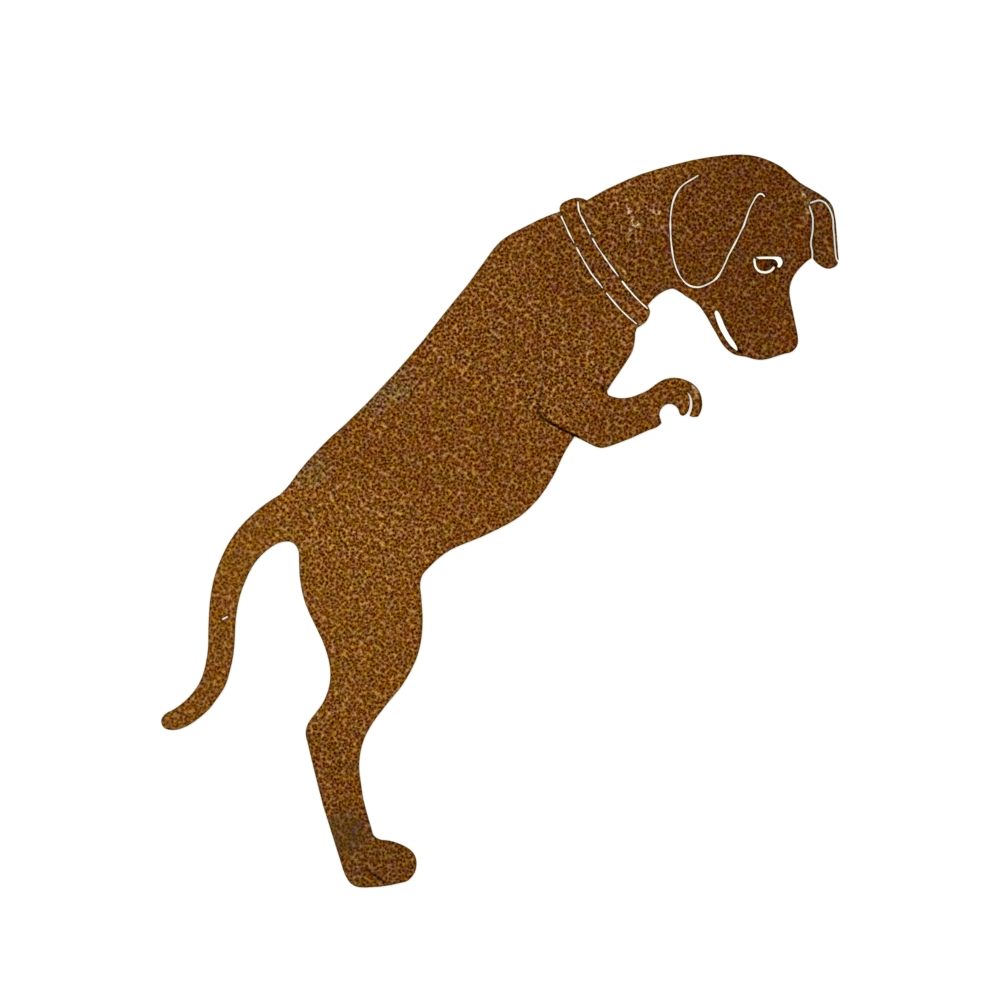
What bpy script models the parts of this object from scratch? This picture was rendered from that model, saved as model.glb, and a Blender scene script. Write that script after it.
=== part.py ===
"""A dog cut from one sheet of steel, left to rust, and lying flat on its back face.

The dog rears on one hind leg with its head bent down, its front leg folded and its tail low.
A cutting torch drew it all in one sheet: the outline, the collar, the ears, the eye and the mouth.
Metres, +Z up: X runs towards the muzzle, Y from the hind paw to the head, Z through the sheet.
The origin is the middle of the dog's length and height, on the back face.
"""
import math

import bpy
import bmesh
from mathutils import Vector, geometry

# Driving dimensions, in metres
DOG_HEIGHT = 0.600
SHEET_THICKNESS = 0.002
KERF = 0.0013
EYE_CUT = 0.0018
COLLAR_UPPER_TAB = 0.0033
COLLAR_LOWER_TAB = 0.0044
GROOVE_WIDTH = 0.0009
GROOVE_DEPTH = 0.0007

# Fineness of the curves
FACET_TURN = math.radians(5.0)
ROUND_END_STEPS = 6
LEAST_STEP = 0.00005

# The drawing's squares: x runs right and y runs down, and the dog stands between these two lines
DRAWN_HEAD_LINE = 154.2
DRAWN_SOLE_LINE = 887.7

# The outline's knots in the drawing's squares, clockwise from the collar's upper edge
NECK_AND_SKULL = [
    (586.7, 200.2), (605, 189.8), (626.7, 179.7), (641, 174), (658, 168.7), (675, 164.2),
    (692, 160), (709, 157), (725.7, 154.9), (741, 154.3), (755.4, 155.9), (768.8, 160.2),
    (781.5, 166.7), (792.2, 175.5), (800.3, 182.6), (810, 188.4), (818.4, 193), (823, 196.2),
    (827.6, 199.6), (831.2, 203.8), (833.2, 207.8), (834.5, 213), (835.9, 221), (836.7, 232),
    (837.6, 244), (838.2, 254), (838.9, 259.8),
]
FAR_EAR_TIP = [
    (838.1, 262.2), (837.4, 264.6), (835.3, 266.6), (832.4, 268), (829.6, 268.7), (826.3, 268.4),
    (821.4, 266.2), (816.6, 262.6),
]
MUZZLE = [
    (808.7, 260), (803.1, 265), (796.7, 272), (791.6, 281.1), (789.7, 290), (791, 302.2),
    (793.5, 314), (796.1, 326.7), (798.1, 338.6), (797.4, 345.5), (795, 349.2), (791, 352.3),
    (785, 353.7), (779, 355.5), (770.5, 358.3), (762, 359.9), (755.2, 359.4), (746, 356.8),
    (738.7, 355.7), (734, 354.2), (728.7, 350.7), (724.1, 346.2), (720.3, 340.6),
    (716.4, 333.6), (712.3, 326.7), (707.3, 317.6), (703.3, 311.3), (698.5, 304.9), (686, 296.2),
    (677.5, 290.6), (672.8, 288.6), (668.6, 289.4), (662.4, 292.2), (656.4, 296.3),
    (650.8, 301.8), (647.9, 305.6),
]
COLLAR_LOWER_END = [
    (647.9, 305.6), (649.2, 308.2), (650.1, 311), (649.7, 314.5), (648, 318.6), (645.5, 322.3),
    (641.5, 325.3), (637.2, 327.9),
]
CHEST = [
    (637.2, 327.9), (635.6, 332), (635, 340), (632.8, 350.3), (626.4, 361.9), (618.4, 373.8),
    (611.8, 383.4), (607.3, 390.5),
]
FRONT_LEG_TOP = [
    (607.3, 390.5), (608.4, 394.6), (612, 396.3), (618, 397.7), (624.4, 398), (632, 396.7),
    (639.4, 394), (648.3, 389.8), (654.6, 385), (662, 380.3), (667.3, 378.4), (673, 377.6),
    (679, 378), (686.6, 380.2), (692.4, 383.3), (697.2, 387.7), (700.4, 393.2), (701.9, 399.1),
    (702.3, 404.5), (701.6, 409.5), (699.8, 414), (698, 416.6), (695.5, 417), (691.8, 416.9),
    (689.4, 415.6),
]
OUTER_TOE_INSIDE = [
    (689.4, 415.6), (691.1, 411.3), (692.1, 407.5), (692.3, 403.3), (691.7, 398.7), (690, 395),
    (688.6, 393.2), (687.2, 392.4),
]
INNER_TOE_AND_PALM = [
    (687.2, 392.4), (688.1, 394.1), (689.3, 396.7), (690, 401), (689.8, 405.5), (688.6, 410.3),
    (687, 413.1), (684.8, 415.2), (682.6, 415.8), (680.6, 414.9), (679.2, 412.2), (678.1, 409),
    (676, 406.5), (672.5, 404.5), (669, 404), (665.7, 404.8), (662.8, 407.1), (660.6, 410.2),
    (659.6, 413.5), (659.9, 417), (661.3, 421), (661.6, 423.2),
]
FRONT_LEG_UNDERSIDE = [
    (661.6, 423.2), (658.5, 426.2), (647.4, 430.8), (632.2, 437.8), (619.4, 442.8),
    (609.1, 446.5), (601.4, 448), (593.8, 446), (586.1, 442.1), (574.8, 436.6),
]
BELLY_AND_SHIN = [
    (574.8, 436.6), (570.4, 443), (565.9, 450.3), (561.6, 458.7), (557.5, 468.1), (552.9, 477.2),
    (546.8, 487.2), (540.7, 496), (533.7, 504), (526.6, 511.1), (518.7, 517.4), (508.5, 523.8),
    (497, 529.7), (481, 537.2), (463, 544.4), (450.6, 550), (440.3, 557), (429.5, 567),
    (422.5, 575.3), (420.3, 583), (421.3, 596.4), (422.6, 615), (422.2, 632.2), (420.3, 645.3),
    (417.4, 656.2), (412.8, 667.1), (406.9, 678.1), (399.5, 689.2), (388.3, 702.5),
    (377.6, 716.2), (369.5, 728.3), (364.1, 739.3), (360.6, 751.7), (359.2, 767), (360.6, 781),
    (363.3, 799.2), (367.3, 814.5), (372, 830.5),
]
HIND_PAW = [
    (372, 830.5), (373.4, 834.8), (376.7, 838), (381, 839.8), (387, 840.4), (394, 841.9),
    (401, 844.5), (407.6, 847.9), (413.3, 853), (416.2, 859.4), (416.5, 866), (414.6, 873),
    (411.2, 877.8), (407.5, 881), (400.2, 883.2), (390.2, 885.4), (379, 887), (368, 887.6),
    (360.5, 887.6), (354.6, 886.1), (350, 882.9), (346.2, 877.3), (342.7, 869.1), (339.5, 858.6),
    (335.2, 844.9), (329.4, 826.3), (322.8, 805.2), (316, 778.4), (310.5, 755.9), (306.9, 740.5),
]
HOCK_AND_RUMP = [
    (306.9, 740.5), (305.6, 731.9), (308, 723.5), (313.8, 715), (322.2, 703.8), (327.3, 692.2),
    (330, 680), (329.3, 664), (326.5, 652.6), (321.9, 639.8), (316.4, 628.2), (309.9, 614.7),
    (305, 603), (300.9, 586.2), (299.2, 573), (298.9, 559.6), (297.9, 549.7), (293.8, 543.7),
    (287.6, 541.6),
]
TAIL = [
    (287.6, 541.6), (279.5, 542.8), (270, 548), (260.4, 556.3), (252.2, 566.9), (245.2, 581.4),
    (240.3, 594.6), (237, 609.4), (235.2, 625.9), (234.8, 637.5), (233.4, 654.2), (229.9, 670.8),
    (225.1, 685.9), (216.7, 699.2), (208.8, 709.5), (197.1, 719.7), (183.6, 727.8),
    (171.6, 730.2), (163.6, 727.5), (161.1, 720.3), (165.2, 713.9), (172.8, 709.8),
    (184.2, 701.5), (194.1, 690.9), (200.4, 680.5), (205.5, 664), (208, 645.8), (208.2, 629.2),
    (208.8, 612.6), (210.9, 592.7), (215.4, 572.9), (221.8, 556.5), (229.6, 541.3),
    (239.2, 527.8), (252, 514.7), (265.7, 503.5), (279.6, 494.8),
]
BACK = [
    (279.6, 494.8), (289.4, 484.4), (297.5, 473), (307, 461.5), (319.3, 448.3), (330.2, 437.4),
    (345.2, 424.1), (366.6, 403.2), (396.9, 370.8), (407.7, 358.4), (423, 340.4), (442.8, 314.9),
    (468, 283.9), (480.5, 266.6), (493, 249.3), (500.2, 241.4), (507, 236.3), (517.6, 230.2),
    (538.4, 219.8), (546.5, 216.2), (560, 211.4),
]
COLLAR_UPPER_END = [
    (560, 211.4), (559.8, 206.8), (562.2, 203.2), (568, 200.1), (573.8, 198), (578.6, 197.6),
    (583.5, 198.7), (586.7, 200.2),
]

# The drawn lines inside the outline, in the drawing's squares
FAR_EAR_RIM = [
    (838.4, 260.4), (837, 257), (836.4, 252.5), (835.6, 243.8), (835.2, 236), (834.3, 228),
    (834, 219.5), (832.1, 212), (829, 206), (825.5, 201.8), (821.5, 199.9), (818.7, 199.4),
    (814.5, 200.5), (810.5, 202),
]
FAR_EAR_ROOT = [
    (812.3, 258.4), (812.5, 254.5), (812.3, 251), (811.3, 246.5), (811, 242), (811.7, 237.5),
    (812.8, 231), (813, 224), (812.9, 217.5), (811, 210.5), (809.4, 205.3),
]
NEAR_EAR = [
    (698.8, 175.1), (690.4, 180), (682, 185.8), (675.9, 194.2), (672.4, 204.2), (670.6, 216.4),
    (670.6, 231.7), (672.1, 250), (675.9, 266.8), (682.8, 279.8), (688.9, 285.1), (698.8, 287.1),
    (707.2, 284.4), (714.9, 279.8), (722.5, 269.1), (728.6, 255.3), (736.3, 240.8),
    (743.9, 225.6), (748.9, 210.9), (754.1, 200.2), (756.5, 196.5), (759.2, 194), (762, 194),
    (764.6, 196.8),
]
COLLAR_LINES = [
    [(561.1, 215.6), (569.6, 234.4), (580.8, 255.5), (591, 272.9), (603.5, 289), (619.8, 308.8),
     (637, 324.1)],
    [(578, 201), (578.8, 209.9), (584.9, 223.3), (597.1, 246.3), (609.4, 264.2), (620, 278.5),
     (634.9, 296.3), (648, 309)],
]
COLLAR_TABS_AT = [
    [0.245, 0.649],
    [0.292, 0.685],
]
UPPER_EYELID = [
    [(756.3, 256.9), (763, 256.5), (770.6, 256.5), (776.5, 256.6), (780.2, 257.2), (782.1, 259.7),
     (782.5, 263), (781.2, 265.6), (779, 267.4), (777.3, 266.4)],
    [(777.3, 266.4), (778.1, 264.5), (777.7, 262.6), (776.4, 260.7), (774.1, 259.1),
     (770.6, 258.8), (763, 258.8), (758.4, 258.6), (756.3, 256.9)],
]
LOWER_EYELID = [
    (754.4, 258.4), (754.8, 263), (755.6, 266.3), (757.2, 269), (759.9, 271.3), (763, 272.1),
    (766.4, 272.2), (769.9, 271.1), (772.1, 269.5), (774.4, 266.6),
]
MOUTH = [
    [(716.5, 310.5), (718, 311.4), (719.9, 314.5), (724.1, 324.5), (729.5, 335.2),
     (735.6, 344.4), (737.3, 348.2), (737.2, 350.7)],
    [(737.2, 350.7), (733.3, 347.8), (729.9, 344.4), (723, 334.1), (719.9, 328.3),
     (717.6, 322.6), (715.5, 316.1), (715.1, 311.5), (716.5, 310.5)],
]
TAIL_NICK = [(222.1, 619.4), (227.8, 616.6)]

# Grooves that the torch drew without going through
SHOULDER_GROOVE = [
    (578.5, 437.6), (575, 435.6), (563.5, 430.3), (553.9, 425), (545.8, 419.8), (542, 417.2),
    (539.6, 413.1), (538.9, 408.3), (539.1, 403.5), (541, 393), (542.2, 384), (543.9, 377.7),
]
LIP_GROOVE = [(737.6, 348.2), (739.3, 350.6), (741.9, 352.6)]

# Rusted steel
RUST_COLOUR = (0.205, 0.072, 0.012, 1.0)
RUST_ROUGHNESS = 0.75
RUST_METALLIC = 0.3

SQUARE = DOG_HEIGHT / (DRAWN_SOLE_LINE - DRAWN_HEAD_LINE)


def knot_points(knots):
    """The drawing's knots as points in metres, with y turned to run up."""
    return [Vector((x * SQUARE, (DRAWN_SOLE_LINE - y) * SQUARE, 0.0)) for x, y in knots]


def headings(run):
    """The direction of a smooth curve at each of its knots, as for an arc through three knots."""
    sides = [(there - here) for here, there in zip(run, run[1:])]
    inner = []
    for before, after in zip(sides, sides[1:]):
        leaning = before.normalized() * after.length + after.normalized() * before.length
        inner.append(leaning.normalized())
    if not inner:
        return [sides[0].normalized()] * 2
    return [mirrored(inner[0], sides[0])] + inner + [mirrored(inner[-1], sides[-1])]


def mirrored(heading, chord):
    """A heading at one end of an arc, from the heading at the arc's other end."""
    along = chord.normalized()
    return 2.0 * heading.dot(along) * along - heading


def smooth(run):
    """Closely spaced points of a smooth curve through a run of knots."""
    aims = headings(run)
    points = [run[0]]
    for here, there, leaving, arriving in zip(run, run[1:], aims, aims[1:]):
        chord = there - here
        reach = chord.length / 3.0
        turn = leaving.angle(chord) + chord.angle(arriving)
        arc = geometry.interpolate_bezier(
            here, here + leaving * reach, there - arriving * reach, there,
            max(1, math.ceil(turn / FACET_TURN)) + 1,
        )
        points.extend(arc[1:])
    return points


def drawn(knots):
    """A smooth curve through knots of the drawing."""
    return smooth(knot_points(knots))


def joined(runs):
    """Runs set end to end, without points that repeat the one before."""
    points = []
    for point in (point for run in runs for point in run):
        if not points or (point - points[-1]).length > LEAST_STEP:
            points.append(point)
    while (points[0] - points[-1]).length <= LEAST_STEP:
        points.pop()
    return points


def distances_along(line):
    """How far along the line each of its points lies."""
    travelled = [0.0]
    for here, there in zip(line, line[1:]):
        travelled.append(travelled[-1] + (there - here).length)
    return travelled


def point_at(line, distance):
    """The point of a line at a distance along it."""
    travelled = distances_along(line)
    for index in range(len(line) - 1):
        if distance <= travelled[index + 1]:
            step = travelled[index + 1] - travelled[index]
            return line[index].lerp(line[index + 1], (distance - travelled[index]) / step)
    return line[-1]


def stretch(line, start, end):
    """The part of a line between two distances along it."""
    travelled = distances_along(line)
    between = [
        point for point, distance in zip(line, travelled)
        if start + LEAST_STEP < distance < end - LEAST_STEP
    ]
    return [point_at(line, start)] + between + [point_at(line, end)]


def beside(line, distance):
    """A line that runs beside another at a distance to its left."""
    points = []
    for index, point in enumerate(line):
        ahead = line[min(index + 1, len(line) - 1)] - line[max(index - 1, 0)]
        ahead.normalize()
        points.append(point + Vector((-ahead.y, ahead.x, 0.0)) * distance)
    return points


def round_end(left, right):
    """A half circle from the left side of a cut's end, round the tip, to its right side."""
    centre = (left + right) / 2.0
    arm = left - centre
    turned = Vector((arm.y, -arm.x, 0.0))
    points = []
    for step in range(1, ROUND_END_STEPS):
        angle = math.pi * step / ROUND_END_STEPS
        points.append(centre + arm * math.cos(angle) + turned * math.sin(angle))
    return points


def closed_cut(line, width):
    """The loop of a cut of even width with round ends, from tip to tip of a line."""
    length = distances_along(line)[-1]
    core = stretch(line, width / 2.0, length - width / 2.0)
    left = beside(core, width / 2.0)
    right = beside(core, -width / 2.0)
    return left + round_end(left[-1], right[-1]) + right[::-1] + round_end(right[0], left[0])


def open_cut(left, right):
    """The two sides of a cut that starts at the outline, joined by its round blind end."""
    return left + round_end(left[-1], right[-1]) + right[::-1]


def rim_cut(line, width):
    """A cut whose right side is the line, so that the rim outside it keeps its width."""
    return open_cut(beside(line, width), line)


def tabbed_cuts(line, tabs_at, tabs, width):
    """Cuts of one drawn line, with a tab of metal left between each two."""
    length = distances_along(line)[-1]
    starts = [0.0] + [share * length + tab / 2.0 for share, tab in zip(tabs_at, tabs)]
    ends = [share * length - tab / 2.0 for share, tab in zip(tabs_at, tabs)] + [length]
    return [closed_cut(stretch(line, start, end), width) for start, end in zip(starts, ends)]


def outline():
    """The dog's outline with the two cuts of the far ear, which run in from the edge."""
    rim_line = drawn(FAR_EAR_RIM)
    rim = rim_cut(rim_line, KERF)[::-1]
    root_line = drawn(FAR_EAR_ROOT)
    root_line = stretch(root_line, 0.0, distances_along(root_line)[-1] - KERF / 2.0)
    root = open_cut(beside(root_line, KERF / 2.0), beside(root_line, -KERF / 2.0))[::-1]
    ear_tip = smooth(knot_points(FAR_EAR_TIP) + [root[0]])
    muzzle = smooth([root[-1]] + knot_points(MUZZLE))
    return joined([
        drawn(NECK_AND_SKULL), rim, ear_tip, root, muzzle, drawn(COLLAR_LOWER_END), drawn(CHEST),
        drawn(FRONT_LEG_TOP), drawn(OUTER_TOE_INSIDE), drawn(INNER_TOE_AND_PALM),
        drawn(FRONT_LEG_UNDERSIDE), drawn(BELLY_AND_SHIN), drawn(HIND_PAW), drawn(HOCK_AND_RUMP),
        drawn(TAIL), drawn(BACK), drawn(COLLAR_UPPER_END),
    ])


def inner_cuts():
    """The loops of every cut inside the outline."""
    cuts = [closed_cut(drawn(NEAR_EAR), KERF), closed_cut(drawn(TAIL_NICK), KERF)]
    tabs = (COLLAR_UPPER_TAB, COLLAR_LOWER_TAB)
    for line, tabs_at in zip(COLLAR_LINES, COLLAR_TABS_AT):
        cuts.extend(tabbed_cuts(drawn(line), tabs_at, tabs, KERF))
    cuts.append(closed_cut(drawn(LOWER_EYELID), EYE_CUT))
    cuts.append(joined([drawn(side) for side in UPPER_EYELID]))
    cuts.append(joined([drawn(side) for side in MOUTH]))
    return cuts


def flat_plate(name, loops, middle, low, high):
    """A plate between two heights, filled between the loops, as a mesh object."""
    curve = bpy.data.curves.new(name, "CURVE")
    curve.dimensions = "2D"
    curve.fill_mode = "BOTH"
    curve.extrude = (high - low) / 2.0
    for loop in loops:
        spline = curve.splines.new("POLY")
        spline.points.add(len(loop) - 1)
        spline.use_cyclic_u = True
        for corner, point in zip(spline.points, loop):
            corner.co = (point.x - middle.x, point.y - middle.y, 0.0, 1.0)
    drawing = bpy.data.objects.new(name + "_drawing", curve)
    drawing.location.z = (high + low) / 2.0
    bpy.context.scene.collection.objects.link(drawing)
    bpy.context.view_layer.update()
    graph = bpy.context.evaluated_depsgraph_get()
    mesh = bpy.data.meshes.new_from_object(drawing.evaluated_get(graph))
    mesh.name = name
    skin = bmesh.new()
    skin.from_mesh(mesh)
    bmesh.ops.remove_doubles(skin, verts=skin.verts, dist=0.000001)
    bmesh.ops.recalc_face_normals(skin, faces=skin.faces)
    skin.to_mesh(mesh)
    skin.free()
    plate = bpy.data.objects.new(name, mesh)
    plate.matrix_world = drawing.matrix_world
    bpy.data.objects.remove(drawing)
    return plate


def collection(name):
    """A new collection in the scene."""
    group = bpy.data.collections.new(name)
    bpy.context.scene.collection.children.link(group)
    return group


def rusted_steel():
    """Steel under an even coat of orange-brown rust."""
    material = bpy.data.materials.new("rusted_steel")
    material.use_nodes = True
    shader = material.node_tree.nodes["Principled BSDF"]
    shader.inputs["Base Color"].default_value = RUST_COLOUR
    shader.inputs["Roughness"].default_value = RUST_ROUGHNESS
    shader.inputs["Metallic"].default_value = RUST_METALLIC
    return material


def build():
    """The dog as one solid, cut through and then grooved."""
    edge = outline()
    middle = Vector((
        (min(point.x for point in edge) + max(point.x for point in edge)) / 2.0,
        (min(point.y for point in edge) + max(point.y for point in edge)) / 2.0,
        0.0,
    ))
    dog = flat_plate("dog_silhouette", [edge] + inner_cuts(), middle, 0.0, SHEET_THICKNESS)
    dog.data.materials.append(rusted_steel())
    collection("rusted_steel_dog").objects.link(dog)

    cutters = collection("cutters")
    groove_floor = SHEET_THICKNESS - GROOVE_DEPTH
    groove_top = SHEET_THICKNESS + GROOVE_DEPTH
    for name, knots in (("shoulder_groove", SHOULDER_GROOVE), ("lip_groove", LIP_GROOVE)):
        loop = closed_cut(drawn(knots), GROOVE_WIDTH)
        cutter = flat_plate(name, [loop], middle, groove_floor, groove_top)
        cutter.hide_render = True
        cutter.display_type = "WIRE"
        cutters.objects.link(cutter)
        cut = dog.modifiers.new(name, "BOOLEAN")
        cut.operation = "DIFFERENCE"
        cut.solver = "EXACT"
        cut.object = cutter


for old in list(bpy.data.objects):
    bpy.data.objects.remove(old)
build()
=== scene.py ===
"""The looks of a dog cut from one sheet of steel and left to rust, lying on a white floor.

The plate is rebuilt as one fine mesh on the frame's own outline: a pitted front, a plainer back,
cut walls with the torch's drag lines and a softly rounded edge.
"""

import math

import bpy
import numpy as np
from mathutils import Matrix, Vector, geometry, kdtree, noise


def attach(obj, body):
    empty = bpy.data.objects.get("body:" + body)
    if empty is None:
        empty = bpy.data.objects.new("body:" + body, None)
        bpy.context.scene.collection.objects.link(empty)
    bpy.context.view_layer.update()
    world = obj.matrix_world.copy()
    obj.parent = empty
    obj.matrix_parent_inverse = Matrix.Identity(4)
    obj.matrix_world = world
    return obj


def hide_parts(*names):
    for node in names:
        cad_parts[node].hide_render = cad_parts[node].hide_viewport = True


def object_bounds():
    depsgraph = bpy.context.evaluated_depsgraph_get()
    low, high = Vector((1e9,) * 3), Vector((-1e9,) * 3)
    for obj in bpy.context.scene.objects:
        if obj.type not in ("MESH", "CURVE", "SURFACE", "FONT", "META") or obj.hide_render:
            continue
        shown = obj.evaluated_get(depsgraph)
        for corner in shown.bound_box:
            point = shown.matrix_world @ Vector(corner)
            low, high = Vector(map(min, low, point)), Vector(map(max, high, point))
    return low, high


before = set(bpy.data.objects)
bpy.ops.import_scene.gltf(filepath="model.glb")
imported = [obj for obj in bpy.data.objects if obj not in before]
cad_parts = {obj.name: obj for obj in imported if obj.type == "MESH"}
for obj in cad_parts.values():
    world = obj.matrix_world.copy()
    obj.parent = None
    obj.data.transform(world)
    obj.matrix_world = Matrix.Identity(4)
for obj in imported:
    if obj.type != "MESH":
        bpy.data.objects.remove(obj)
CAD_LOW, CAD_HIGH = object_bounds()

# The photograph's frame, in pixels, and the dog's box there
PHOTO_SIZE = 1000.0
PHOTO_TOP, PHOTO_BOTTOM = 154.3, 887.75
PHOTO_LEFT, PHOTO_RIGHT = 161.05, 838.9
PIXEL = (CAD_HIGH.y - CAD_LOW.y) / (PHOTO_BOTTOM - PHOTO_TOP)

# The camera's lens and sensor, in millimetres
LENS = 110.0
SENSOR = 36.0

# The fine mesh, in metres
FRONT_STEP = 0.00135
BACK_STEP = 0.0035
RIM_STEP = 0.0009
RIM_TREE_STEP = 0.0002
FARTHEST_RIM = 0.02
ARRIS = 0.00028
BACK_ARRIS = 0.00015
PIT_DEPTH = 0.00016
BACK_PIT_DEPTH = 0.00012
DRAG_LINE_PITCH = 0.0011
DRAG_LINE_DEPTH = 0.00008
WAVER_SIZE = 0.0070
WAVER_REACH = 0.00035
WAVER_INSET = 0.00010
SLOT_WIDTH = 0.0017
CUT_WIDTH = 0.0040
GROOVE_SLOPE = 0.00012
GROOVE_FLOOR = GROOVE_SLOPE * 0.9
GROOVE_DEPTH = 0.0007
GROOVE_BANK = 0.0003
GROOVE_CLEARANCE = 2.0 * ARRIS
THICKNESS = CAD_HIGH.z - CAD_LOW.z
MID_HEIGHT = THICKNESS / 2.0

# Units, and how closely places are told apart, in metres
MILLIMETRES_A_METRE = 1000.0
MICRONS_A_METRE = 1e6
MICRON = 1e-6
SAME_HEIGHT = 1e-5
MERGED_WITHIN = 1e-7

# The fine mesh's counts, turns and shares
EDGE_ROWS = 4
CLEAR_OF_RIM = 0.62
CROWDED = 0.4
SHARP_TURN = math.radians(25.0)
LEAST_MITRE = 0.55
LEAST_LEAN = 1e-6
ARRIS_TURN = 0.3
ARRIS_PITS = 0.7
DRAG_LINE_CHANGE = 0.7
PATCH_REACH = 1.4
PATCH_FADE = 0.8

# The rust pattern's sizes, in metres, its shares of the tone and its middles
WARP_SIZE = 0.0042
WARP_REACH = 0.0012
SPECK_SIZE = 0.0031
SPECK_SHARE = 0.85
SPECK_MIDDLE = 0.42
GRAIN_SIZE = 0.0018
GRAIN_SHARE = 1.15
CURD_SIZE = 0.0075
CURD_SHARE = 0.15
FINE_SIZE = 0.0006
FINE_SHARE = 0.55
TONE_MIDDLE = 0.45
TONE_PIVOT = 0.42
PATTERN_TURN = math.radians(38.0)

# How far aside each noise is read, so that no two patterns agree
GRAIN_SHIFT = 0.0
CURD_SHIFT = 3.1
FINE_SHIFT = 7.7
BROAD_SHIFT = 9.1
OLIVE_SHIFT = 1.3
PURPLE_SHIFT = 5.3
SHIFT_SLANT = 0.7

# Rust's colour, as seen: lightness, red over green, and blue against lightness
CONTRAST = 0.50
LIGHTNESS = 0.303
RED_OVER_GREEN = 0.188
BLUE_SLOPE = 0.87
BLUE_START = -0.182
RED_WEIGHT = 0.299
BLUE_WEIGHT = 0.114
DISPLAY_GAMMA = 2.2
LIGHT_SHARE = 0.8
PURPLE_SIZE = 0.0095
PURPLE_REACH = 0.19
OLIVE_SIZE = 0.0140
OLIVE_REACH = 0.09
NET_SIZE = 0.0050
NET_WIDTH = 0.20
NET_LIGHT = 0.11
BROAD_SIZE = 0.0130
BROAD_REACH = 0.07


def photo_point(x, y):
    """A point of the photograph, in metres on the plate."""
    return Vector((
        (x - (PHOTO_LEFT + PHOTO_RIGHT) / 2.0) * PIXEL,
        ((PHOTO_TOP + PHOTO_BOTTOM) / 2.0 - y) * PIXEL,
    ))


# Patches of the rust, each as a place in the photograph, a radius in pixels and a strength
PATCHES = {
    "dusk": [
        (775, 225, 95, 1.0), (765, 320, 60, 0.9), (690, 235, 60, 0.6), (640, 250, 60, 0.45),
        (375, 862, 48, 0.5), (350, 820, 28, 0.3), (635, 415, 60, 0.35), (540, 330, 70, 0.25),
        (590, 255, 55, 0.4), (530, 450, 50, 0.15), (338, 765, 50, 0.2),
    ],
    "gold": [
        (335, 560, 85, 0.9), (350, 660, 75, 0.8), (250, 560, 75, 1.0), (200, 690, 70, 0.6),
        (305, 498, 45, 0.6),
    ],
    "calm": [(235, 540, 60, 0.9), (222, 625, 55, 1.0), (190, 705, 55, 1.0)],
    "pale": [(398, 384, 18, 1.0), (376, 402, 16, 1.0), (312, 468, 17, 1.0), (812, 188, 16, 0.6)],
    "dull": [(346, 832, 21, 1.0), (342, 848, 12, 0.6), (374, 868, 30, 0.3)],
    "dark": [(771, 264, 7, 1.0), (703, 406, 6, 0.6), (700, 413, 5, 0.5), (604, 389, 5, 0.5)],
    "red": [(762, 264, 5, 0.8)],
    "bold": [
        (555, 375, 55, 1.0), (632, 212, 34, 1.0), (610, 265, 40, 0.8), (468, 345, 40, 0.8),
        (385, 545, 60, 0.7), (515, 300, 45, 0.7), (340, 730, 30, 0.4), (705, 215, 34, 0.5),
        (310, 520, 45, 0.7), (390, 400, 26, 0.7),
    ],
}
# What each kind adds to contrast, to lightness, to red over green and to blue
TINTS = {
    "dusk": (-0.12, -0.050, -0.020, 0.034),
    "gold": (0.0, 0.020, 0.0, -0.010),
    "calm": (-0.085, 0.010, 0.0, 0.0),
    "pale": (0.0, 0.018, -0.040, 0.048),
    "dull": (-0.18, -0.005, -0.050, 0.050),
    "dark": (-0.1, -0.090, -0.045, 0.050),
    "red": (-0.1, -0.030, 0.045, -0.015),
    "bold": (0.06, -0.030, 0.0, 0.0),
    "back": (-0.15, -0.01, 0.0, 0.0),
    "rim": (-0.1, -0.045, -0.065, 0.055),
    "fleck": (0.0, 0.44, -0.03, 0.12),
    "scratch": (-0.3, -0.16, -0.07, 0.05),
    # Painted shade, faint and grey, in the groove where it barely shows.
    "faint_groove_shade": (-0.1, -0.03, -0.055, 0.055),
    # Painted shade: the shoulder's groove, a narrow recess, is darkened and greyed.
    "groove": (-0.35, -0.20, -0.07, 0.07),
}

# The grey rim: its noise in metres, its reach in millimetres, and where in that reach it fades
RIM_NOISE_SIZE = 0.0030
RIM_LEAST_REACH = 0.2
RIM_NOISE_REACH = 3.0
RIM_FULL = 0.35
RIM_GONE = 1.5

# How the rusted faces and the cut take light
FACE_ROUGHNESS = 0.85
BUMP_STRENGTH = 0.5
BUMP_DISTANCE = 0.0002
SCALE_DARK = (0.034, 0.019, 0.011, 1.0)
SCALE_LIGHT = (0.105, 0.056, 0.025, 1.0)
SCALE_ROUGHNESS = 0.75
SCALE_SHINE = 0.05
STREAK_SIZE = DRAG_LINE_PITCH * 0.7
STREAK_STRETCH = 0.15
STREAK_LOW = 0.35
STREAK_HIGH = 0.65

# The stage, in metres, and its light
FLOOR_SIZE = 14.0
FLOOR_DROP = 0.0002
GLOW_DROP = 0.0001
GLOW_INSET = 0.0003
FLOOR_WHITE = (0.94, 0.94, 0.94, 1.0)
FLOOR_GLOW = (0.52, 0.44, 0.36, 1.0)
# The glow of the patches under the cuts is painted light: it makes the floor seen through the cuts
# brighter and warmer.
CUT_PAINTED_GLOW = (0.75, 0.61, 0.45, 1.0)
LAMP_SIZE = 1.6
KEY_PLACE = (-0.9, 1.3, 2.4)
KEY_POWER = 15.0
FILL_PLACE = (1.6, -0.9, 2.0)
FILL_POWER = 7.0
ROOM_WHITE = (1.0, 1.0, 1.0, 1.0)
ROOM_LIGHT = 0.58

# Where the shoulder's groove takes only a faint, grey painted shade
FAINT_GROOVE_SPOTS = [(545, 392, 26, 1.0)]

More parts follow.
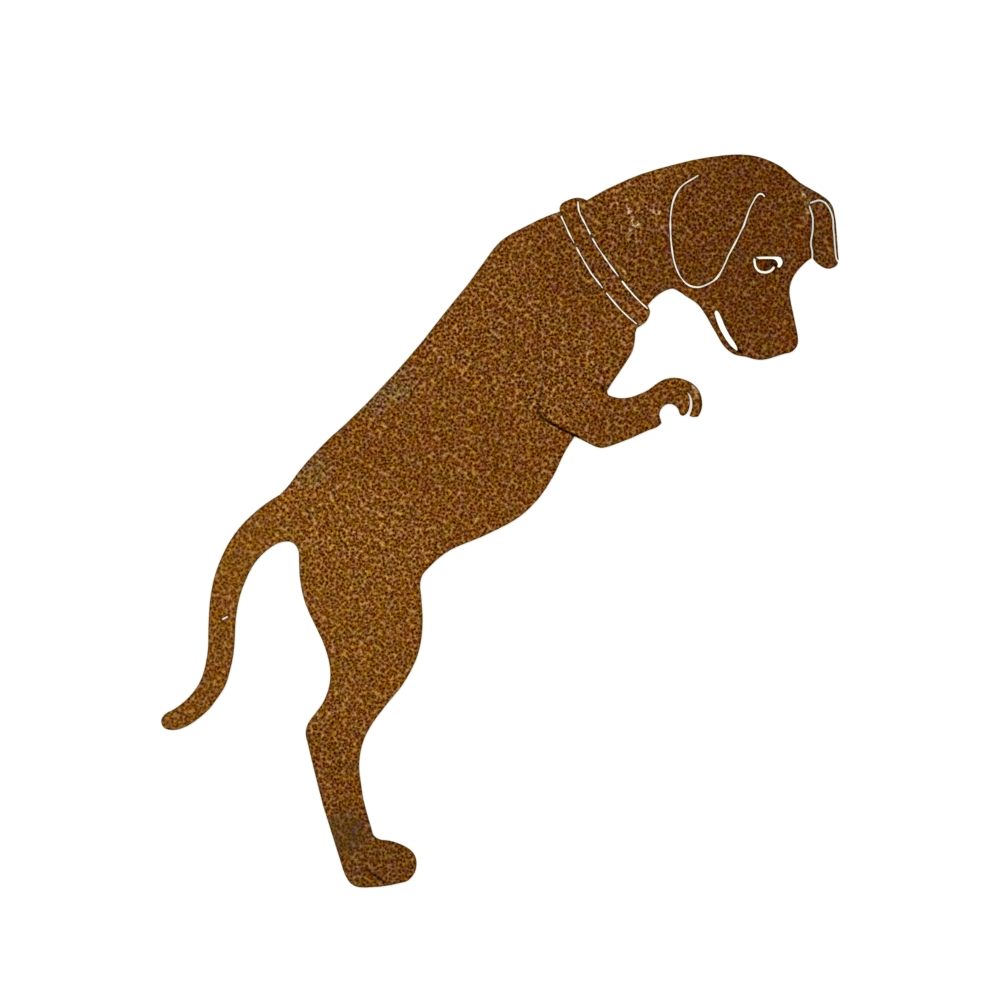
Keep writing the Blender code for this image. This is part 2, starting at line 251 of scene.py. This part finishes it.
# Small marks, each as its kind, its strength and its line in the photograph
MARKS = [
    ("fleck", 1.0, [(628.0, 208.3), (630.5, 210.8), (628.3, 213.7)]),
    ("fleck", 0.9, [(631.5, 217.2), (631.8, 221.0), (633.1, 224.8), (635.3, 226.4), (639.1, 223.9)]),
    ("fleck", 0.8, [(651.9, 210.8), (654.8, 213.4), (657.3, 215.0), (659.9, 211.8)]),
    ("fleck", 0.6, [(660.2, 225.5), (664.6, 229.0)]),
    ("fleck", 0.5, [(656.3, 175.4), (662.1, 180.2)]),
    ("fleck", 0.5, [(630.2, 228.7), (632.1, 232.2)]),
    ("fleck", 0.7, [(622.5, 271.0), (625.5, 273.0)]),
    ("fleck", 0.4, [(617.0, 203.0), (619.0, 206.0)]),
    ("fleck", 0.9, [(802.3, 193.6), (803.4, 194.6)]),
    ("fleck", 0.7, [(805.3, 195.3), (805.6, 197.5)]),
    ("fleck", 0.8, [(806.5, 209.0), (807.5, 213.0)]),
    ("fleck", 0.6, [(803.0, 217.0), (805.0, 221.0)]),
    ("fleck", 0.6, [(820.5, 204.0), (822.0, 206.0)]),
    ("fleck", 0.8, [(692.8, 386.0), (695.5, 390.5)]),
    ("fleck", 0.8, [(696.8, 395.4), (698.2, 397.4)]),
    ("fleck", 0.3, [(549.0, 424.4), (555.0, 427.7), (561.0, 431.0)]),
    ("scratch", 1.0, [(366.0, 869.0), (374.0, 875.5), (384.0, 881.5)]),
    ("scratch", 0.7, [(605.0, 390.4), (602.3, 387.5), (600.2, 383.8)]),
]


# Reading the plate's outlines from the frame


def flat_loops(mesh, height):
    """The closed outlines of the mesh's faces that lie at a height, with the metal on their left.

    The faces look down, as the plate's back does, or else the metal is on the right.
    """
    places = {}
    merged = []
    for vertex in mesh.vertices:
        key = tuple(round(value * MICRONS_A_METRE) for value in vertex.co)
        merged.append(places.setdefault(key, len(places)))
    points = np.array([key for key in places], float) * MICRON
    following = {}
    sides = set()
    for face in mesh.polygons:
        corners = [merged[index] for index in face.vertices]
        if all(abs(points[corner][2] - height) < SAME_HEIGHT for corner in corners):
            for here, there in zip(corners, corners[1:] + corners[:1]):
                sides.add((here, there))
    for here, there in sides:
        if (there, here) not in sides:
            following[here] = there
    loops = []
    while following:
        start = next(iter(following))
        loop = [start]
        after = following.pop(start)
        while after != start:
            loop.append(after)
            after = following.pop(after)
        loops.append(points[loop][::-1, :2])
    return loops


def refined(loop, step):
    """A loop with its long sides divided, so that none is longer than the step."""
    out = []
    for here, there in zip(loop, np.roll(loop, -1, axis=0)):
        parts = max(1, math.ceil(np.hypot(*(there - here)) / step))
        out.extend(here + (there - here) * part / parts for part in range(parts))
    return np.array(out)


def thinned(loop, least):
    """A loop without points that crowd closer than the least spacing, but with its corners."""
    before = loop - np.roll(loop, 1, axis=0)
    after = np.roll(loop, -1, axis=0) - loop
    turn = np.abs(np.arctan2(
        before[:, 0] * after[:, 1] - before[:, 1] * after[:, 0], (before * after).sum(axis=1)
    ))
    kept = []
    for index, point in enumerate(loop):
        if turn[index] > SHARP_TURN or not kept or np.hypot(*(point - kept[-1])) >= least:
            kept.append(point)
    return np.array(kept)


def inward(loop, distance):
    """The loop moved to its left, into the metal, and mitred at its corners."""
    before = loop - np.roll(loop, 1, axis=0)
    after = np.roll(loop, -1, axis=0) - loop
    before /= np.hypot(before[:, 0], before[:, 1])[:, None]
    after /= np.hypot(after[:, 0], after[:, 1])[:, None]
    leaning = before + after
    leaning /= np.maximum(np.hypot(leaning[:, 0], leaning[:, 1]), LEAST_LEAN)[:, None]
    across = np.stack([-leaning[:, 1], leaning[:, 0]], axis=1)
    beside = np.stack([-after[:, 1], after[:, 0]], axis=1)
    mitre = 1.0 / np.maximum((across * beside).sum(1), LEAST_MITRE)
    return loop + across * (distance * mitre)[:, None]


def inside(points, loops):
    """Which points lie in the metal, by the even-odd rule."""
    odd = np.zeros(len(points), bool)
    for loop in loops:
        for here, there in zip(loop, np.roll(loop, -1, axis=0)):
            if here[1] == there[1]:
                continue
            low, high = sorted((here[1], there[1]))
            near = (points[:, 1] >= low) & (points[:, 1] < high)
            if near.any():
                share = (points[near, 1] - here[1]) / (there[1] - here[1])
                crossing = here[0] + share * (there[0] - here[0])
                odd[near] ^= points[near, 0] < crossing
    return odd


def tree_of(loops, step):
    """A search tree over closely spaced points of the loops."""
    dense = np.concatenate([refined(loop, step) for loop in loops])
    tree = kdtree.KDTree(len(dense))
    for index, point in enumerate(dense):
        tree.insert((point[0], point[1], 0.0), index)
    tree.balance()
    return tree


def distances(points, tree):
    """How far each point lies from the nearest point in a tree."""
    return np.array([tree.find((point[0], point[1], 0.0))[2] for point in points])


def grid_points(low, high, step):
    """A grid of equal triangles over a box."""
    rise = step * math.sqrt(3.0) / 2.0
    rows = []
    for row, y in enumerate(np.arange(low[1], high[1], rise)):
        x = np.arange(low[0] + (row % 2) * step / 2.0, high[0], step)
        rows.append(np.stack([x, np.full_like(x, y)], axis=1))
    return np.concatenate(rows)


def in_metal(triangles, rim_sides):
    """Which triangles lie in the metal, by a walk from the hull that changes at each rim side."""
    owners = {}
    for index, (first, second, third) in enumerate(triangles.tolist()):
        for side in ((first, second), (second, third), (third, first)):
            owners.setdefault((min(side), max(side)), []).append(index)
    beside = [[] for triangle in triangles]
    metal = [None] * len(triangles)
    waiting = []
    for side, pair in owners.items():
        crosses = side in rim_sides
        if len(pair) == 2:
            beside[pair[0]].append((pair[1], crosses))
            beside[pair[1]].append((pair[0], crosses))
        elif metal[pair[0]] is None:
            metal[pair[0]] = crosses
            waiting.append(pair[0])
    while waiting:
        here = waiting.pop()
        for there, crosses in beside[here]:
            if metal[there] is None:
                metal[there] = metal[here] != crosses
                waiting.append(there)
    return np.array(metal, bool)


def filled(loops, tree, step, chains=()):
    """Points and triangles that fill the metal between the loops, evenly in the middle.

    The loops' own points come first, then the chains', each an open or a closed line.
    """
    outer = np.concatenate(loops)
    grid = grid_points(outer.min(axis=0), outer.max(axis=0), step)
    grid = grid[inside(grid, loops)]
    grid = grid[distances(grid, tree) > step * CLEAR_OF_RIM]
    edges = []
    start = 0
    for line, closed in [(loop, True) for loop in loops] + list(chains):
        count = len(line)
        last = count if closed else count - 1
        edges.extend((start + index, start + (index + 1) % count) for index in range(last))
        start += count
    fixed = np.concatenate(list(loops) + [line for line, closed in chains])
    places = np.concatenate([fixed, grid])
    corners = [Vector(place) for place in places]
    made = geometry.delaunay_2d_cdt(corners, edges, [], 0, MERGED_WITHIN, False)
    points = np.array([tuple(point) for point in made[0]])
    triangles = np.array(made[2])
    if len(points) != len(places) or np.abs(points - places).max() > MICRON:
        raise RuntimeError("the plate's outlines cross, at %s" % points[len(places):][:5].tolist())
    rim_sides = {(min(side), max(side)) for side in edges[:len(outer)]}
    return points, triangles[in_metal(triangles, rim_sides)]


# The plate's mesh


def drag_lines(along, height, seed):
    """How far a cut wall is scored at a length along it and a height, in metres."""
    share = height / THICKNESS
    wave = along / DRAG_LINE_PITCH + (share - 0.5) ** 2
    stray = noise.noise(Vector((wave, seed, share * DRAG_LINE_CHANGE)))
    return DRAG_LINE_DEPTH * max(0.0, 0.5 + stray)


def mean_width(loop):
    """How wide a long narrow loop is, from its area and its length."""
    ahead = np.roll(loop, -1, axis=0)
    area = abs((loop[:, 0] * ahead[:, 1] - ahead[:, 0] * loop[:, 1]).sum()) / 2.0
    return 2.0 * area / np.hypot(*(ahead - loop).T).sum()


def wavering(loop):
    """A slot's loop, a little tighter and of a width that wavers, as under a torch's flame."""
    strays = [noise.noise(Vector((x, y, 0.0)) / WAVER_SIZE) for x, y in loop]
    return inward(loop, WAVER_REACH * np.array(strays) - WAVER_INSET)


def lengths_along(loop):
    """How far along the loop each of its points lies."""
    steps = np.hypot(*(np.roll(loop, -1, axis=0) - loop).T)
    return np.concatenate([[0.0], np.cumsum(steps)[:-1]])


def wall_rows(loop, along, seed):
    """The rings between the back's rim and the front's, each as points and their pit scales."""
    rows = []
    for height in np.linspace(BACK_ARRIS, THICKNESS - ARRIS, EDGE_ROWS):
        scored = np.array([drag_lines(length, height, seed) for length in along])
        rows.append((inward(loop, scored), height, 0.0))
    turn = ARRIS * ARRIS_TURN
    rows.append((inward(loop, turn), THICKNESS - turn, PIT_DEPTH * ARRIS_PITS))
    return rows


def photo_line(line):
    """A line of the photograph, on the plate and with its long sides divided."""
    places = np.array([photo_point(x, y) for x, y in line])
    out = [places[:1]]
    for here, there in zip(places, places[1:]):
        parts = max(1, math.ceil(np.hypot(*(there - here)) / RIM_STEP))
        out.append(here + (there - here) * np.arange(1, parts + 1)[:, None] / parts)
    return np.concatenate(out)


def patched(points, spots):
    """How strongly each point lies in any of some soft round spots, from 0 to 1."""
    clear = np.ones(len(points))
    for x, y, radius, strength in spots:
        away = np.hypot(*(points[:, :2] - np.array(photo_point(x, y))).T) / (radius * PIXEL)
        share = np.clip(PATCH_REACH - away, 0.0, PATCH_FADE) / PATCH_FADE
        clear *= 1.0 - strength * share * share * (3.0 - 2.0 * share)
    return 1.0 - clear


def clear_runs(loop, rim, least):
    """The stretches of a loop that keep clear of the rim, each as a line and whether it closes."""
    clear = distances(loop, rim) > least
    if clear.all():
        return [(loop, True)]
    first = int(np.argmin(clear))
    loop, clear = np.roll(loop, -first, axis=0), np.roll(clear, -first)
    ends = np.flatnonzero(np.diff(np.concatenate([clear, [False]]).astype(int)))
    return [(loop[start + 1:end + 1], False) for start, end in zip(ends[::2], ends[1::2])]


def walls(loops, front_count, placed):
    """The cut walls, between the rims of the back and of the front, which are placed already.

    They are given as their own points, those points' pit scales and lengths along, and faces.
    """
    points = []
    pits = []
    along = []
    faces = []
    start = 0
    for seed, loop in enumerate(loops):
        count = len(loop)
        reach = lengths_along(loop)
        rings = [np.arange(count) + start + front_count]
        for ring, height, pit in wall_rows(loop, reach, seed):
            points.append(np.column_stack([ring, np.full(count, height)]))
            pits.append(np.full(count, -pit))
            along.append(reach)
            rings.append(np.arange(count) + placed)
            placed += count
        rings.append(np.arange(count) + start)
        for lower, upper in zip(rings, rings[1:]):
            faces.append(np.column_stack([lower, np.roll(lower, -1), np.roll(upper, -1), upper]))
        start += count
    return [np.concatenate(part) for part in (points, pits, along, faces)]


def mark_values(chains, start, count):
    """How strongly each point carries each kind of small mark, where the marks' points begin."""
    marked = {kind: np.zeros(count) for kind, strength, line in MARKS}
    for (kind, strength, line), (chain, closed) in zip(MARKS, chains):
        marked[kind][start:start + len(chain)] = strength
        start += len(chain)
    return marked


def place_values(points, grooves, rim):
    """What the materials need to know of each point's place on the plate."""
    front = points[:, 2] > MID_HEIGHT
    # The shoulder's groove and its banks, on the front, take painted shade: faint in some spots,
    # full elsewhere.
    banks = [inward(groove, -GROOVE_BANK) for groove in grooves]
    grooved = inside(points[:, :2], banks) * front
    faint_shade_spot = patched(points, FAINT_GROOVE_SPOTS)
    back = points[:, 2] < MID_HEIGHT
    values = {
        "rim_distance": np.minimum(distances(points, rim), FARTHEST_RIM) * MILLIMETRES_A_METRE,
        "groove": grooved * (1.0 - faint_shade_spot),
        "faint_groove_shade": grooved * faint_shade_spot,
        "back": back,
    }
    values.update((kind, patched(points, spots) * ~back) for kind, spots in PATCHES.items())
    return values


def plate_mesh():
    """The whole plate as one closed mesh, with what its materials need as attributes."""
    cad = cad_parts["dog_silhouette"].data
    loops = [refined(thinned(loop, RIM_STEP * CROWDED), RIM_STEP) for loop in flat_loops(cad, 0.0)]
    loops = [wavering(loop) if mean_width(loop) < SLOT_WIDTH else loop for loop in loops]
    rim = tree_of(loops, RIM_TREE_STEP)
    grooves = [loop[::-1] for loop in flat_loops(cad, THICKNESS - GROOVE_DEPTH)]
    chains = [(photo_line(line), False) for kind, strength, line in MARKS]
    for groove in grooves:
        for line in (groove, inward(groove, GROOVE_SLOPE)):
            chains.extend(clear_runs(refined(line, RIM_STEP), rim, GROOVE_CLEARANCE))

    front_loops = [inward(loop, ARRIS) for loop in loops]
    near = tree_of(front_loops + [line for line, closed in chains], RIM_TREE_STEP)
    front, front_faces = filled(front_loops, near, FRONT_STEP, chains)
    back_loops = [inward(loop, BACK_ARRIS) for loop in loops]
    back, back_faces = filled(back_loops, tree_of(back_loops, RIM_TREE_STEP), BACK_STEP)

    sunk = inside(front, [inward(groove, GROOVE_FLOOR) for groove in grooves])
    flat_count = len(front) + len(back)
    wall_points, wall_pits, wall_along, quads = walls(loops, len(front), flat_count)
    points = np.concatenate([
        np.column_stack([front, np.where(sunk, THICKNESS - GROOVE_DEPTH, THICKNESS)]),
        np.column_stack([back, np.zeros(len(back))]),
        wall_points,
    ])
    flat_pits = [np.where(sunk, 0.0, -PIT_DEPTH), np.full(len(back), BACK_PIT_DEPTH)]
    triangles = np.concatenate([front_faces, back_faces[:, ::-1] + len(front)])
    mesh = bpy.data.meshes.new("rusted_dog")
    mesh.from_pydata(points.tolist(), [], triangles.tolist() + quads.tolist())
    mesh.polygons.foreach_set(
        "material_index", np.repeat([0, 1], [len(triangles), len(quads)]).astype(np.int32)
    )
    mesh.shade_smooth()
    values = place_values(points, grooves, rim)
    values.update(mark_values(chains, sum(len(loop) for loop in front_loops), len(points)))
    values["pit_scale"] = np.concatenate(flat_pits + [wall_pits])
    values["along"] = np.concatenate([np.zeros(flat_count), wall_along])
    for name, value in values.items():
        attribute = mesh.attributes.new(name, "FLOAT", "POINT")
        attribute.data.foreach_set("value", np.asarray(value, np.float32))
    return mesh


# Node trees


class Graph:
    """A node tree, with short ways to add nodes that feed each other."""

    def __init__(self, tree):
        self.tree = tree
        self.nodes = tree.nodes

    def feed(self, socket, value):
        """Links a socket to another, or sets its value."""
        if isinstance(value, bpy.types.NodeSocket):
            self.tree.links.new(value, socket)
        else:
            socket.default_value = value

    def node(self, kind, inputs, **settings):
        """A node of a kind, with its settings and its inputs by name or place."""
        made = self.nodes.new(kind)
        for name, value in settings.items():
            setattr(made, name, value)
        for name, value in inputs.items():
            if value is not None:
                self.feed(made.inputs[name], value)
        return made

    def math(self, operation, first, second=None, third=None, clamp=False):
        """The result of one sum on numbers."""
        inputs = {0: first, 1: second, 2: third}
        made = self.node("ShaderNodeMath", inputs, operation=operation, use_clamp=clamp)
        return made.outputs[0]

    def vector(self, operation, first, second=None, scale=None):
        """The result of one sum on vectors."""
        inputs = {0: first, 1: second, "Scale": scale}
        return self.node("ShaderNodeVectorMath", inputs, operation=operation).outputs[0]

    def noise(self, place, size, detail=2.0):
        """Flat noise whose bumps are about a size across, in metres."""
        inputs = {"Vector": place, "Scale": 1.0 / size, "Detail": detail}
        return self.node("ShaderNodeTexNoise", inputs, noise_dimensions="2D").outputs[0]

    def cells(self, place, size, feature="F1"):
        """How far a place lies from its flat cell's heart, or from the cell's border."""
        inputs = {"Vector": place, "Scale": 1.0 / size}
        settings = {"voronoi_dimensions": "2D", "feature": feature}
        return self.node("ShaderNodeTexVoronoi", inputs, **settings).outputs["Distance"]

    def spread(self, value, low, high, to_low=0.0, to_high=1.0):
        """A value's range mapped onto another, without going past its ends."""
        inputs = {0: value, 1: low, 2: high, 3: to_low, 4: to_high}
        return self.node("ShaderNodeMapRange", inputs).outputs[0]

    def blend(self, share, first, second):
        """Two colours mixed by a share."""
        inputs = {0: share, 6: first, 7: second}
        return self.node("ShaderNodeMix", inputs, data_type="RGBA").outputs[2]


def swing(graph, place, offset, size, detail=1.0):
    """Noise about zero, read at a place moved aside so that each pattern differs."""
    moved = graph.vector("ADD", place, (offset, offset * SHIFT_SLANT, 0.0))
    return graph.math("SUBTRACT", graph.noise(moved, size, detail), 0.5)


def rust_tone(graph, place):
    """How light the crust is, from 0 in a pit to 1: dark specks in a net of lighter ridges."""
    place = graph.node("ShaderNodeVectorRotate", {"Vector": place, "Angle": PATTERN_TURN}).outputs[0]
    sway = graph.node(
        "ShaderNodeTexNoise", {"Vector": place, "Scale": 1.0 / WARP_SIZE, "Detail": 1.0},
        noise_dimensions="2D",
    ).outputs["Color"]
    sway = graph.vector("SUBTRACT", sway, (0.5, 0.5, 0.5))
    swayed = graph.vector("ADD", place, graph.vector("SCALE", sway, scale=WARP_REACH))
    specks = graph.math("SUBTRACT", graph.cells(swayed, SPECK_SIZE), SPECK_MIDDLE)
    tone = graph.math("MULTIPLY_ADD", specks, SPECK_SHARE, TONE_MIDDLE)
    grain = swing(graph, place, GRAIN_SHIFT, GRAIN_SIZE)
    tone = graph.math("MULTIPLY_ADD", grain, GRAIN_SHARE, tone)
    curd = swing(graph, place, CURD_SHIFT, CURD_SIZE, 2.0)
    return graph.math("MULTIPLY_ADD", curd, CURD_SHARE, tone, clamp=True)


def pitted(plate):
    """Sinks the plate's faces by the rust's own pattern, and keeps the result as its mesh."""
    tree = bpy.data.node_groups.new("pitting", "GeometryNodeTree")
    tree.interface.new_socket("Geometry", in_out="INPUT", socket_type="NodeSocketGeometry")
    tree.interface.new_socket("Geometry", in_out="OUTPUT", socket_type="NodeSocketGeometry")
    graph = Graph(tree)
    start = graph.nodes.new("NodeGroupInput").outputs[0]
    place = graph.nodes.new("GeometryNodeInputPosition").outputs[0]
    scale = graph.node("GeometryNodeInputNamedAttribute", {"Name": "pit_scale"}, data_type="FLOAT")
    depth = graph.math("SUBTRACT", 1.0, rust_tone(graph, place))
    sink = graph.math("MULTIPLY", depth, scale.outputs[0])
    offset = graph.node("ShaderNodeCombineXYZ", {"Z": sink}).outputs[0]
    moved = graph.node("GeometryNodeSetPosition", {"Geometry": start, "Offset": offset})
    graph.feed(graph.nodes.new("NodeGroupOutput").inputs[0], moved.outputs[0])
    modifier = plate.modifiers.new("pitting", "NODES")
    modifier.node_group = tree
    bpy.context.view_layer.update()
    sunk = plate.evaluated_get(bpy.context.evaluated_depsgraph_get())
    finished = bpy.data.meshes.new_from_object(sunk)
    plate.modifiers.clear()
    plate.data = finished
    bpy.data.node_groups.remove(tree)


def new_material(name):
    """A material with its graph and its shader."""
    material = bpy.data.materials.new(name)
    material.use_nodes = True
    graph = Graph(material.node_tree)
    return material, graph, graph.nodes["Principled BSDF"]


def reading(graph, name):
    """A number that the mesh carries."""
    return graph.node("ShaderNodeAttribute", {}, attribute_name=name).outputs["Fac"]


def rusted_face():
    """Rust on the sheet's two faces: specks in a lighter net, with broad patches of colour."""
    material, graph, shader = new_material("rusted_steel_face")
    place = graph.nodes.new("ShaderNodeTexCoord").outputs["Object"]
    tone = rust_tone(graph, place)
    fine = swing(graph, place, FINE_SHIFT, FINE_SIZE, 2.0)
    tone = graph.math("MULTIPLY_ADD", fine, FINE_SHARE, tone)
    broad = swing(graph, place, BROAD_SHIFT, BROAD_SIZE, 2.0)
    olive = swing(graph, place, OLIVE_SHIFT, OLIVE_SIZE)
    purple = swing(graph, place, PURPLE_SHIFT, PURPLE_SIZE)
    sums = [
        CONTRAST,
        graph.math("MULTIPLY_ADD", broad, BROAD_REACH, LIGHTNESS),
        graph.math("MULTIPLY_ADD", olive, OLIVE_REACH, RED_OVER_GREEN),
        graph.math("MULTIPLY_ADD", purple, PURPLE_REACH, BLUE_START),
    ]
    ragged = graph.noise(place, RIM_NOISE_SIZE)
    reach = graph.math("MULTIPLY_ADD", ragged, RIM_NOISE_REACH, RIM_LEAST_REACH)
    near = graph.math("DIVIDE", reading(graph, "rim_distance"), reach)
    rim = graph.spread(near, RIM_FULL, RIM_GONE, 1.0, 0.0)
    for kind, shifts in TINTS.items():
        share = rim if kind == "rim" else reading(graph, kind)
        sums = [
            graph.math("MULTIPLY_ADD", share, shift, total) if shift else total
            for shift, total in zip(shifts, sums)
        ]
    contrast, light, over_green, blue = sums
    light = graph.math("MULTIPLY_ADD", graph.math("SUBTRACT", tone, TONE_PIVOT), contrast, light)
    net = graph.cells(place, NET_SIZE, "DISTANCE_TO_EDGE")
    net = graph.spread(net, 0.0, NET_WIDTH, NET_LIGHT, 0.0)
    light = graph.math("MULTIPLY_ADD", net, reading(graph, "bold"), light)
    blue = graph.math("MULTIPLY_ADD", light, BLUE_SLOPE, blue, clamp=True)
    green = graph.math("MULTIPLY_ADD", over_green, -RED_WEIGHT, light)
    green = graph.math("MULTIPLY_ADD", blue, -BLUE_WEIGHT, green)
    green = graph.math("DIVIDE", green, 1.0 - BLUE_WEIGHT, clamp=True)
    red = graph.math("ADD", green, over_green, clamp=True)
    seen = graph.node("ShaderNodeCombineColor", {0: red, 1: green, 2: blue}).outputs[0]
    colour = graph.node("ShaderNodeGamma", {0: seen, 1: DISPLAY_GAMMA}).outputs[0]
    colour = graph.vector("SCALE", colour, scale=1.0 / LIGHT_SHARE)
    graph.feed(shader.inputs["Base Color"], colour)
    shader.inputs["Roughness"].default_value = FACE_ROUGHNESS
    shader.inputs["Specular IOR Level"].default_value = 0.0
    relief = {"Strength": BUMP_STRENGTH, "Distance": BUMP_DISTANCE, "Height": tone}
    graph.feed(shader.inputs["Normal"], graph.node("ShaderNodeBump", relief).outputs[0])
    return material


def cut_edge():
    """The torch's cut: dark scale with finer streaks across the sheet's thickness."""
    material, graph, shader = new_material("cut_edge")
    place = graph.nodes.new("ShaderNodeTexCoord").outputs["Object"]
    height = graph.node("ShaderNodeSeparateXYZ", {0: place}).outputs["Z"]
    stretched = graph.math("MULTIPLY", height, STREAK_STRETCH)
    inputs = {"X": reading(graph, "along"), "Y": stretched}
    along = graph.node("ShaderNodeCombineXYZ", inputs).outputs[0]
    streaks = graph.spread(graph.noise(along, STREAK_SIZE), STREAK_LOW, STREAK_HIGH)
    graph.feed(shader.inputs["Base Color"], graph.blend(streaks, SCALE_DARK, SCALE_LIGHT))
    shader.inputs["Roughness"].default_value = SCALE_ROUGHNESS
    shader.inputs["Specular IOR Level"].default_value = SCALE_SHINE
    return material


def dog():
    """The plate, pitted, with its materials, on its body and in its node's place."""
    plate = bpy.data.objects.new("rusted_dog", plate_mesh())
    bpy.context.scene.collection.objects.link(plate)
    plate.data.materials.append(rusted_face())
    plate.data.materials.append(cut_edge())
    pitted(plate)
    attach(plate, "root")
    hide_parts("dog_silhouette")
    return plate


# Stage


def white_material(name, glow):
    """A dull white that glows, as a light table does; the stronger, warmer glow under the cuts is
    painted light.
    """
    material, graph, shader = new_material(name)
    shader.inputs["Base Color"].default_value = FLOOR_WHITE
    shader.inputs["Roughness"].default_value = 1.0
    shader.inputs["Specular IOR Level"].default_value = 0.0
    shader.inputs["Emission Color"].default_value = glow
    shader.inputs["Emission Strength"].default_value = 1.0
    return material


def floor():
    """A white floor, and glowing patches of it under the cuts that the rust hems in: painted light,
    brighter and warmer, on the floor seen through the cuts.
    """
    bpy.ops.mesh.primitive_plane_add(size=FLOOR_SIZE, location=(0.0, 0.0, -FLOOR_DROP))
    plane = bpy.context.object
    plane.name = "floor"
    plane.data.materials.append(white_material("white_floor", FLOOR_GLOW))

    # Painted light: patches under the cuts that glow brighter and warmer than the floor around them.
    points = []
    faces = []
    for loop in flat_loops(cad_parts["dog_silhouette"].data, 0.0):
        if mean_width(loop) < CUT_WIDTH:
            faces.append(list(range(len(points), len(points) + len(loop))))
            points.extend((x, y, -GLOW_DROP) for x, y in inward(loop, GLOW_INSET)[::-1])
    mesh = bpy.data.meshes.new("painted_light_under_cuts")
    mesh.from_pydata(points, [], faces)
    mesh.materials.append(white_material("painted_light_under_cuts", CUT_PAINTED_GLOW))
    patches = bpy.data.objects.new("painted_light_under_cuts", mesh)
    bpy.context.scene.collection.objects.link(patches)


def area_light(name, place, power):
    """A square soft light that looks at the dog."""
    data = bpy.data.lights.new(name, "AREA")
    data.size = LAMP_SIZE
    data.energy = power
    lamp = bpy.data.objects.new(name, data)
    lamp.location = place
    lamp.rotation_euler = (-Vector(place)).to_track_quat("-Z", "Y").to_euler()
    bpy.context.scene.collection.objects.link(lamp)


def lights():
    """Soft studio light: a large box above the head's side, a fill and an even white room."""
    area_light("key_light", KEY_PLACE, KEY_POWER)
    area_light("fill_light", FILL_PLACE, FILL_POWER)
    world = bpy.data.worlds.new("white_room")
    world.use_nodes = True
    background = world.node_tree.nodes["Background"]
    background.inputs["Color"].default_value = ROOM_WHITE
    background.inputs["Strength"].default_value = ROOM_LIGHT
    bpy.context.scene.world = world
    bpy.context.scene.view_settings.view_transform = "Standard"


def camera():
    """The photograph's view: straight down on the plate, its frame centred as the photo is."""
    data = bpy.data.cameras.new("camera")
    data.lens = LENS
    data.sensor_width = SENSOR
    middle = photo_point(PHOTO_SIZE / 2.0, PHOTO_SIZE / 2.0)
    seen = bpy.data.objects.new("camera", data)
    seen.location = (middle.x, middle.y, CAD_HIGH.z + PHOTO_SIZE * PIXEL * LENS / SENSOR)
    bpy.context.scene.collection.objects.link(seen)
    bpy.context.scene.camera = seen


camera()
dog()
floor()
lights()
